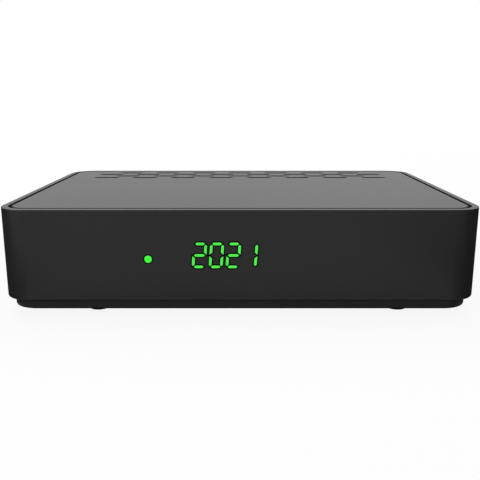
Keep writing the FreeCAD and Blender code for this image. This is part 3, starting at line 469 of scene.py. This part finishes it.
contact_row("video_contacts_upper", "video_tongue", True, VIDEO_STRIP_WIDTH, VIDEO_STRIP_LENGTH,
            VIDEO_STRIP_SPACING, VIDEO_STRIP_COUNT)
contact_row("video_contacts_lower", "video_tongue", False, VIDEO_STRIP_WIDTH, VIDEO_STRIP_LENGTH,
            VIDEO_STRIP_SPACING, VIDEO_STRIP_COUNT - 1)
contact_row("storage_contacts", "storage_tongue", False, STORAGE_STRIP_WIDTH, STORAGE_STRIP_LENGTH,
            STORAGE_STRIP_SPACING, STORAGE_STRIP_COUNT)


def turned(start, profile, sides=64):
    """A solid turned about a line along Y: its rims' radii and places follow the profile."""
    radius, y = profile[0]
    bpy.ops.object.select_all(action="DESELECT")
    bpy.ops.mesh.primitive_circle_add(vertices=sides, radius=radius, fill_type="NGON",
                                      location=(start.x, y, start.z),
                                      rotation=(math.radians(90), 0, 0))
    open_for_shaping()
    bpy.ops.mesh.select_all(action="SELECT")
    for next_radius, next_y in profile[1:]:
        bpy.ops.mesh.extrude_region_move(TRANSFORM_OT_translate={"value": (0, next_y - y, 0)})
        ratio = next_radius / radius
        bpy.ops.transform.resize(value=(ratio, 1, ratio),
                                 center_override=(start.x, next_y, start.z))
        radius, y = next_radius, next_y
    bpy.ops.mesh.select_all(action="SELECT")
    bpy.ops.mesh.normals_make_consistent(inside=False)
    bpy.ops.object.mode_set(mode="OBJECT")
    return bpy.context.object


def moulded_colour(name, low, high):
    finish = new_finish(name, IOR=1.48)
    drift = finish.noise(500.0, 3.0)
    return finish.look(Base_Color=finish.blend(drift, low, high), Roughness=0.38 + 0.1 * drift,
                       Normal=finish.bump(drift, 0.000008))


def socket_lamp(name, side, low_colour, high_colour):
    """A clear window in a top corner of the network socket, moulded in its lamp's colour."""
    low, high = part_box("network_socket")
    middle = (low.x + high.x) / 2
    bpy.ops.object.select_all(action="DESELECT")
    bpy.ops.mesh.primitive_cube_add(
        size=1, scale=(LAMP_WIDTH, LAMP_SEAT, LAMP_HEIGHT),
        location=(middle + side * LAMP_OFFSET, high.y + LAMP_RISE - LAMP_SEAT / 2,
                  high.z - LAMP_DROP))
    open_for_shaping()
    pick(lambda place, normal: normal.y > 0.5)
    bpy.ops.mesh.inset(thickness=LAMP_RISE)
    bpy.ops.transform.translate(value=(0, LAMP_RISE, 0))
    bpy.ops.object.mode_set(mode="OBJECT")
    return finished(name, moulded_colour(name, low_colour, high_colour))


socket_lamp("network_lamp_green", -1, (0.02, 0.16, 0.03, 1.0), (0.03, 0.24, 0.05, 1.0))
socket_lamp("network_lamp_amber", 1, (0.35, 0.13, 0.01, 1.0), (0.5, 0.2, 0.02, 1.0))
mounts = {mount["name"]: mount for mount in frame["record"]["mounts"]}
for jack, mount in (("av_jack", "av_output"), ("infrared_jack", "infrared_extender")):
    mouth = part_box(jack)[1].y
    turned(Vector(mounts[mount]["pos_m"]), [
        (JACK_LINING_RADIUS + JACK_LINING_WALL, mouth - JACK_LINING_DEPTH - JACK_LINING_WALL),
        (JACK_LINING_RADIUS + JACK_LINING_WALL, mouth), (JACK_RING_RADIUS, mouth),
        (JACK_RING_RADIUS - JACK_RING_RISE, mouth + JACK_RING_RISE),
        (JACK_LINING_RADIUS, mouth + JACK_RING_RISE),
        (JACK_LINING_RADIUS, mouth - JACK_LINING_DEPTH)])
    finished(jack + "_lining", nickel_plate)


# Two aerial sockets are pressed into the tuner's can and pass through the rear panel, where a
# hexagon nut holds each. Their barrels are turned from brass, threaded and nickel plated.

THREAD_PITCH = 0.000794
THREAD_DEPTH = 0.00036
THREAD_TURNS = 10
THREAD_SHARES = (0.1, 0.45, 0.65, 1.0)
SOCKET_MOUTH = 0.0033
MOUTH_CHAMFER = 0.0003
BARREL_FLOOR = 0.0025
CORNER_DROP = 0.0005
FACE_SHARE = 0.2
BORE_MARGIN = 0.001

nut_low, nut_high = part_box("aerial_nuts")
nut_across = nut_high.z - nut_low.z
nut_corner = nut_across / 2 / math.cos(math.radians(30))
for socket in ("lnb_input", "lnb_output"):
    low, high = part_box(socket)
    middle = Vector(mounts[socket]["pos_m"])
    root = (high.z - low.z) / 2
    crest = mounts[socket]["dims"]["r_mm"] / 1000
    valley = crest - THREAD_DEPTH
    rims = [(root, low.y), (root, nut_high.y), (valley, nut_high.y)]
    for turn in range(THREAD_TURNS):
        for radius, share in zip((valley, crest, crest, valley), THREAD_SHARES):
            rims.append((radius, nut_high.y + THREAD_PITCH * (turn + share)))
    rims += [(valley, high.y), (SOCKET_MOUTH + MOUTH_CHAMFER, high.y),
             (SOCKET_MOUTH, high.y - MOUTH_CHAMFER), (SOCKET_MOUTH, low.y + BARREL_FLOOR)]
    turned(middle, rims)
    barrel = finished(socket + "_barrel", nickel_plate)
    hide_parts(socket)

    cone = turned(middle, [
        (nut_corner, nut_low.y - CORNER_DROP), (nut_corner, nut_high.y - CORNER_DROP),
        (nut_across / 2, nut_high.y + CORNER_DROP * FACE_SHARE)])
    bore = turned(middle, [(root, nut_low.y - BORE_MARGIN), (root, nut_high.y + BORE_MARGIN)])
    bpy.ops.object.select_all(action="DESELECT")
    bpy.ops.mesh.primitive_cylinder_add(
        vertices=6, radius=nut_corner, depth=nut_high.y - nut_low.y,
        location=(middle.x, (nut_low.y + nut_high.y) / 2, middle.z),
        rotation=(math.radians(90), math.radians(30), 0))
    bpy.ops.object.transform_apply(location=True, rotation=True, scale=True)
    for cutter, operation in ((cone, "INTERSECT"), (bore, "DIFFERENCE")):
        cut = bpy.context.object.modifiers.new("cut", "BOOLEAN")
        cut.operation = operation
        cut.object = cutter
        bpy.ops.object.modifier_apply(modifier="cut")
        bpy.data.objects.remove(cutter)
    nut = finished(socket + "_nut", nickel_plate, crease=20.0)
    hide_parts("aerial_nuts")


# Moulded insulators hold the centre contacts: white ones fill the aerial sockets, and an orange
# one marks the digital audio output.

dress(moulded_colour("insulator_white", (0.68, 0.68, 0.64, 1.0), (0.8, 0.8, 0.77, 1.0)),
      "lnb_input_insulator", "lnb_output_insulator")
dress(moulded_colour("audio_orange", (0.75, 0.16, 0.012, 1.0), (0.9, 0.24, 0.02, 1.0)),
      "audio_socket_core")


# The rear panel is pressed from thin steel sheet and powder coated black. It slides into the
# sleeve's rear frame and the sockets reach through it.

def powder_coat():
    finish = new_finish("powder_coat", IOR=1.45)
    peel = finish.noise(1100.0, 3.0)
    colour = finish.blend(peel, grey(0.014), grey(0.024))
    return finish.look(Base_Color=colour, Roughness=0.5 + 0.14 * peel,
                       Normal=finish.bump(peel, 0.00004))


dress(powder_coat(), "rear_panel")


# The rocker switches the supply. Its glossy paddle tips on a steel pin, and its two faces carry
# the raised white marks for on and off.

MARK_RADIUS = 0.0013
MARK_STROKE = 0.0004
MARK_RISE = 0.00008
MARK_OFFSET = 0.0031
PADDLE_MIDDLE = 0.001
PADDLE_RISE = 0.0014
PADDLE_HALF = 0.0058
PADDLE_SLOPE = math.atan2(PADDLE_RISE, PADDLE_HALF)
PADDLE_TILT = math.radians(10)


def polished_black():
    finish = new_finish("polished_black", IOR=1.5)
    shade = finish.noise(200.0, 2.0)
    colour = finish.blend(shade, grey(0.01), grey(0.016))
    return finish.look(Base_Color=colour, Roughness=0.16 + 0.08 * shade)


def mark_white():
    finish = new_finish("mark_white", IOR=1.48)
    wear = finish.noise(1500.0, 2.0)
    return finish.look(Base_Color=finish.blend(wear, grey(0.6), grey(0.75)),
                       Roughness=0.4 + 0.1 * wear)


dress(polished_black(), "power_rocker")
paint = mark_white()
pivot = Vector(frame["record"]["behaviour"]["joints"][0]["pos_m"])
on_paddle = Matrix.Translation(pivot) @ Matrix.Rotation(PADDLE_TILT, 4, "X")
for name, side in (("rocker_mark_on", -1), ("rocker_mark_off", 1)):
    bpy.ops.object.select_all(action="DESELECT")
    if name == "rocker_mark_off":
        bpy.ops.mesh.primitive_circle_add(vertices=48, radius=MARK_RADIUS, fill_type="NGON")
        open_for_shaping()
        bpy.ops.mesh.select_all(action="SELECT")
        bpy.ops.mesh.inset(thickness=MARK_STROKE)
        bpy.ops.mesh.delete(type="FACE")
    else:
        bpy.ops.mesh.primitive_plane_add(size=1)
        bpy.context.object.scale = (MARK_STROKE, 2 * MARK_RADIUS, 1)
        open_for_shaping()
    bpy.ops.mesh.select_all(action="SELECT")
    bpy.ops.mesh.extrude_region_move(TRANSFORM_OT_translate={"value": (0, 0, MARK_RISE)})
    bpy.ops.mesh.select_all(action="SELECT")
    bpy.ops.mesh.normals_make_consistent(inside=False)
    mark = finished(name, paint, "rocker")
    lean = Matrix.Rotation(math.radians(-90) - side * PADDLE_SLOPE, 4, "X")
    lift = PADDLE_MIDDLE + MARK_OFFSET * math.tan(PADDLE_SLOPE)
    mark.data.transform(on_paddle @ Matrix.Translation((0, lift, side * MARK_OFFSET)) @ lean)


# The sleeve of the case: front, sides and rim in one moulding, with the same grained face. The
# display's unlit bars end flush with the front wall and have its colour, so they don't show.

case_black = moulded_black("case_black", 0.013, 0.38)
dress(case_black, "housing", "unlit_segments")


# The display: green light-emitting bars in a black module, a green lamp beside it and the remote
# control's receiver in smoked plastic.

SURROUND_WIDTH = 0.00042
SURROUND_RISE = 0.00002
SURROUND_SEAT = 0.0003
LIT_RISE = 0.00004
BAR_TRIM = 0.00004
LENS_RADIUS = 0.00128


def lit_green(name, low, high):
    """A diffuser lit from behind, a little fainter where its lamp is further away."""
    finish = new_finish(name, Roughness=0.4, Emission_Strength=1.0)
    glow = finish.noise(700.0, 1.0)
    return finish.look(Base_Color=(0.0, 0.02, 0.0, 1.0),
                       Emission_Color=finish.blend(glow, low, high))


def swollen_bars(name, swell, rise, material):
    """The lit bars as one merged mesh, swollen sideways, their faces just proud of the wall."""
    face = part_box("lit_segments")[0].y
    bpy.ops.object.select_all(action="DESELECT")
    bars = nodes["lit_segments"].copy()
    bars.data = nodes["lit_segments"].data.copy()
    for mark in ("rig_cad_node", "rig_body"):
        del bars[mark]
    bars.parent = None
    bpy.context.scene.collection.objects.link(bars)
    bpy.context.view_layer.objects.active = bars
    bars.select_set(True)
    open_for_shaping()
    bpy.ops.mesh.select_all(action="SELECT")
    bpy.ops.mesh.remove_doubles(threshold=0.000001)
    bpy.ops.transform.shrink_fatten(value=swell, use_even_offset=True)
    pick(lambda place, normal: normal.y < -0.9)
    bpy.ops.transform.resize(value=(1, 0, 1), center_override=(0, face - rise, 0))
    return finished(name, material)


def smoked_plastic():
    finish = new_finish("smoked_plastic", IOR=1.5)
    shade = finish.noise(150.0, 2.0)
    colour = finish.blend(shade, grey(0.006), grey(0.012))
    return finish.look(Base_Color=colour, Roughness=0.12 + 0.08 * shade)


def matt_print():
    """The black print that keeps one bar's light from the next."""
    finish = new_finish("matt_print", IOR=1.15, Roughness=0.6)
    shade = finish.noise(400.0, 2.0)
    return finish.look(Base_Color=finish.blend(shade, grey(0.002), grey(0.004)))


glowing = lit_green("lit_green", (0.035, 0.68, 0.03, 1.0), (0.065, 0.92, 0.06, 1.0))
mask = matt_print()
dress(glowing, "lit_segments")
dress(lit_green("lamp_green", (0.022, 0.88, 0.018, 1.0), (0.03, 0.96, 0.025, 1.0)),
      "status_light_guide", "status_led")
dress(smoked_plastic(), "display_module", "infrared_receiver")
swollen_bars("bar_surrounds", SURROUND_WIDTH, SURROUND_RISE, mask)
lit_bars = swollen_bars("lit_bars", -BAR_TRIM, LIT_RISE, glowing)
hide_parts("lit_segments")
lamp = middle_of("status_light_guide")
lens_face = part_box("status_light_guide")[0].y
turned(lamp, [(LENS_RADIUS + SURROUND_WIDTH, lens_face + SURROUND_SEAT),
              (LENS_RADIUS + SURROUND_WIDTH, lens_face - SURROUND_RISE),
              (LENS_RADIUS, lens_face - SURROUND_RISE), (LENS_RADIUS, lens_face + SURROUND_SEAT)])
finished("lamp_surround", mask)


# The lid is a vented panel that clips into the sleeve's top, a groove away from its rim. It is
# moulded in the sleeve's own plastic, so the two match.

dress(case_black, "top_cover")


# Zinc-plated screws hold the boards and the tray. The rocker turns on a short steel pin with the
# same plating.

zinc = plated("zinc", (0.45, 0.46, 0.48, 1.0), (0.58, 0.59, 0.62, 1.0), 0.28)
dress(zinc, "case_screws", "board_screws", "display_board_screws", "rocker_pin")


# The set: a pale paper floor and a white room. The lens sees both as white, and so do polished
# pieces. Black cloths, which only reflections see, paint dark reflections on the case's sides, and
# the one under the case paints a contact shadow into the reflections along its bottom edge.

FLOOR_SIZE = 6.0
FLOOR_WHITE = 0.9
FLOOR_MIRRORED = 0.6
FADE_START = 0.1
FADE_END = 0.8
PAINTED_SHADOW_REACH = 0.05
ROOM_LIGHT = 0.45
CLOTH_INNER = 0.086
CLOTH_OUTER = 0.35
CLOTH_BACK = 0.6
CLOTH_RISE = 0.0004
CLOTH_WALL = 0.12
CLOTH_PEEP = 0.003
LEFT_CLOTH_FRONT = -0.11
RIGHT_CLOTH_FRONT = -0.25


def whiten(finish, eye, mirror, output):
    """Bring a surface up to white where the lens, polished pieces or glass see it."""
    rays = finish.node("LightPath")
    sources = {name: Value(finish, rays.socket.node.outputs[name])
               for name in ("Is Camera Ray", "Is Glossy Ray", "Is Transmission Ray")}
    share = (sources["Is Camera Ray"] * eye + sources["Is Transmission Ray"] * eye
             + sources["Is Glossy Ray"] * mirror)
    glow = finish.node("Emission", None, {"Color": grey(1.0), "Strength": 1.0})
    plain = Value(finish, finish.shader.outputs[0])
    mixed = finish.node("MixShader", None, {0: share, 1: plain, 2: glow})
    finish.link(mixed, finish.tree.nodes[output].inputs["Surface"])


bpy.ops.object.select_all(action="DESELECT")
bpy.ops.mesh.primitive_plane_add(size=FLOOR_SIZE, location=(0, 0, 0))
floor = bpy.context.object
floor.name = "floor"
paper = new_finish("white_paper", Roughness=0.9, Base_Color=grey(0.85), Specular_IOR_Level=0.2)
spot = paper.place()
across = paper.node("SeparateXYZ", None, {"Vector": spot}, "X")
along = paper.node("SeparateXYZ", None, {"Vector": spot}, "Y")
beside = across.math("ABSOLUTE", across) - cad_box[1].x
before = along.math("ABSOLUTE", along) - cad_box[1].y
away = beside.math("MAXIMUM", beside, before)
# The floor's reflected white fades out towards the case: a painted contact shadow in the case's
# reflections of the floor.
painted_shadow_fade = paper.node("MapRange", None, {"Value": away, "From Min": 0.0, "From Max": PAINTED_SHADOW_REACH})
far = paper.node("MapRange", None, {"Value": away, "From Min": FADE_START, "From Max": FADE_END,
                                    "To Min": FLOOR_WHITE, "To Max": 1.0})
whiten(paper, far, painted_shadow_fade * FLOOR_MIRRORED, "Material Output")
floor.data.materials.append(paper.owner)

studio = bpy.data.worlds.new("studio")
bpy.context.scene.world = studio
room = Finish(studio, "Background", Color=grey(1.0), Strength=ROOM_LIGHT)
whiten(room, 1.0, 1.0, "World Output")

cloth_black = new_finish("cloth_black", Base_Color=grey(0.03), Roughness=1.0,
                         Specular_IOR_Level=0.0).owner


def black_cloth(name, left, right, front, back):
    """A cloth laid on the floor for reflections alone, turned up at its edge beside the set."""
    bpy.ops.object.select_all(action="DESELECT")
    bpy.ops.mesh.primitive_plane_add(
        size=1, location=((left + right) / 2, (front + back) / 2, CLOTH_RISE))
    cloth = bpy.context.object
    cloth.scale = (right - left, back - front, 1)
    open_for_shaping()
    bpy.ops.mesh.select_mode(type="EDGE")
    bpy.ops.mesh.select_all(action="DESELECT")
    edited = bmesh.from_edit_mesh(cloth.data)
    outer = [edge for edge in edited.edges
             if all(abs(corner.co.x) > CLOTH_OUTER - 0.001 for corner in edge.verts)]
    for edge in outer:
        edge.select_set(True)
    bmesh.update_edit_mesh(cloth.data)
    if outer:
        bpy.ops.mesh.extrude_region_move(TRANSFORM_OT_translate={"value": (0, 0, CLOTH_WALL)})
    bpy.ops.object.mode_set(mode="OBJECT")
    cloth.name = name
    cloth.data.materials.append(cloth_black)
    for kind in ("camera", "diffuse", "shadow", "transmission", "volume_scatter"):
        setattr(cloth, "visible_" + kind, False)


tray_low, tray_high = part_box("base_tray")
# Painted reflections: the side cloths darken the case's sides, and the right one reaches further
# forward, so the front darkens towards the right.
black_cloth("cloth_left", -CLOTH_OUTER, -CLOTH_INNER, LEFT_CLOTH_FRONT, CLOTH_BACK)
black_cloth("cloth_right", CLOTH_INNER, CLOTH_OUTER, RIGHT_CLOTH_FRONT, CLOTH_BACK)
# Painted shadow: this cloth under the case darkens the reflections along the tray's bottom edge.
black_cloth("painted_shadow_cloth_below", tray_low.x, tray_high.x, tray_low.y - CLOTH_PEEP, tray_high.y)


def soft_lamp(name, place, aim, size, watts):
    lamp = bpy.data.lights.new(name, "AREA")
    lamp.shape = "RECTANGLE"
    lamp.size, lamp.size_y = size
    lamp.energy = watts
    holder = bpy.data.objects.new(name, lamp)
    bpy.context.scene.collection.objects.link(holder)
    holder.location = place
    holder.rotation_euler = (Vector(aim) - Vector(place)).to_track_quat("-Z", "Y").to_euler()


soft_lamp("overhead", (-0.1, 0.5, 0.95), (0, 0, 0), (1.2, 1.0), 9.0)
soft_lamp("front_left", (-0.8, -0.7, 0.7), (0, 0, 0.02), (0.6, 0.5), 4.0)


# The camera stands where the photograph's did: low, on the case's middle line. Its lens and
# place were fitted to the case's outline.

CAMERA_DISTANCE = 0.20642
CAMERA_RISE = 0.03788
CAMERA_PITCH = 13.176
FOCAL_PIXELS = 619.4
PHOTO_WIDTH = 480.0
SENSOR = 36.0

lens = bpy.data.cameras.new("camera")
lens.sensor_width = SENSOR
lens.lens = SENSOR * FOCAL_PIXELS / PHOTO_WIDTH
lens.clip_start = 0.01
camera = bpy.data.objects.new("camera", lens)
bpy.context.scene.collection.objects.link(camera)
camera.location = (0, cad_box[0].y - CAMERA_DISTANCE, cad_box[1].z + CAMERA_RISE)
camera.rotation_euler = (math.radians(90 - CAMERA_PITCH), 0, 0)
bpy.context.scene.camera = camera
bpy.context.scene.view_settings.view_transform = "Standard"
